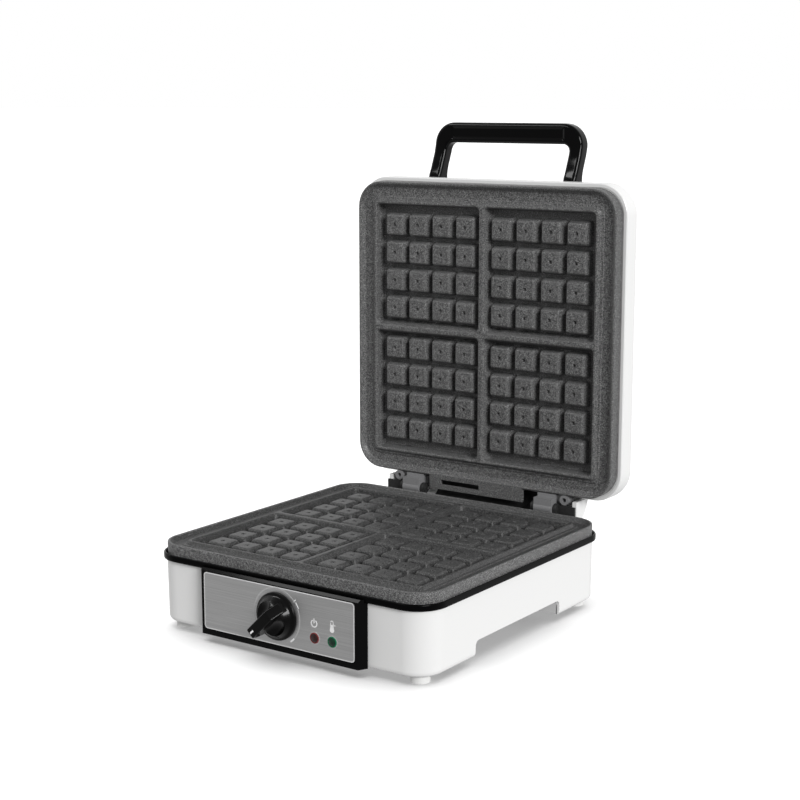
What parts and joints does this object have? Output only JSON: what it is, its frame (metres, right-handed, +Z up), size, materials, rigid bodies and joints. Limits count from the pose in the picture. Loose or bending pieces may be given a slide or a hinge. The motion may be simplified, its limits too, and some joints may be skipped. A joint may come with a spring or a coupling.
{
  "type": "waffle maker",
  "caption": "Square waffle maker with hinged speckled plates, white housing, black rim and loop handle, brushed control fascia with a pointer knob and two indicator lenses.",
  "frame": {"origin": "on the resting surface, under the centre of the whole object's bounding box with the lid open", "axes": "+Z up, +X to the user's right along the hinge, +Y away from the user, from the control panel towards the hinge"},
  "size_m": [0.278, 0.366, 0.4102],
  "materials": {
    "white_shell": "satin gloss",
    "white_foot": "matte",
    "grey_plastic": "matte",
    "black_gloss": "gloss",
    "black_knob": "satin",
    "black_rubber": "matte",
    "plate_coating": "speckled non-stick coating",
    "brushed_fascia": "brushed",
    "red_lens": "clear",
    "green_lens": "clear",
    "lamp_glass": "clear",
    "white_mark": "printed",
    "steel": "plated",
    "bright_sheet": "rolled",
    "heater_sheath": "oxidised",
    "ceramic": "matte",
    "wire_sleeve": "matte",
    "copper": "drawn",
    "dark_steel": "speckled",
    "cast_arm": "cast",
    "bronze": "sintered"
  },
  "bodies": {
    "base": {"base_housing": "white_shell", "base_cover": "grey_plastic", "feet": "white_foot", "cover_screws": "steel", "rim_frame": "black_gloss", "lower_plate": "plate_coating", "lower_plate_screws": "steel", "lower_element": "heater_sheath", "lower_element_clamp": "steel", "lower_clamp_screws": "steel", "lower_reflector": "bright_sheet", "lower_reflector_screws": "steel", "thermal_fuse": "ceramic", "sensor_bulb": "copper", "control_panel": "black_gloss", "fascia": "brushed_fascia", "panel_screws": "steel", "power_lens": "red_lens", "ready_lens": "green_lens", "neon_lamps": "lamp_glass", "thermostat": "ceramic", "thermostat_bracket": "steel", "thermostat_screws": "steel", "terminal_block": "ceramic", "base_wires": "wire_sleeve", "cord_gland": "black_rubber", "cord_clamp": "ceramic", "cord_clamp_screws": "steel", "hinge_housing": "white_shell", "hinge_housing_screws": "steel", "hinge_brackets": "dark_steel", "hinge_bracket_screws": "steel", "hinge_pins": "steel"},
    "lid": {"lid_shell": "white_shell", "upper_plate": "plate_coating", "upper_plate_screws": "steel", "upper_element": "heater_sheath", "upper_element_clamp": "steel", "upper_clamp_screws": "steel", "upper_reflector": "bright_sheet", "upper_reflector_screws": "steel", "lid_wires": "wire_sleeve", "handle": "black_gloss", "handle_screws": "steel", "hinge_arms": "cast_arm", "hinge_arm_screws": "steel", "hinge_bushes": "bronze"},
    "knob": {"knob": "black_knob", "knob_pointer": "white_mark", "thermostat_spindle": "steel"}
  },
  "joints": [
    {"name": "lid_hinge", "type": "hinge", "parent": "base", "child": "lid", "pos_m": [0, 0.12775, 0.0732], "axis": [1, 0, 0], "range_deg": [0, 90]},
    {"name": "knob_turn", "type": "hinge", "parent": "base", "child": "knob", "pos_m": [0, -0.17055, 0.0356], "axis": [0, 1, 0], "range_deg": [0, 270]}
  ]
}
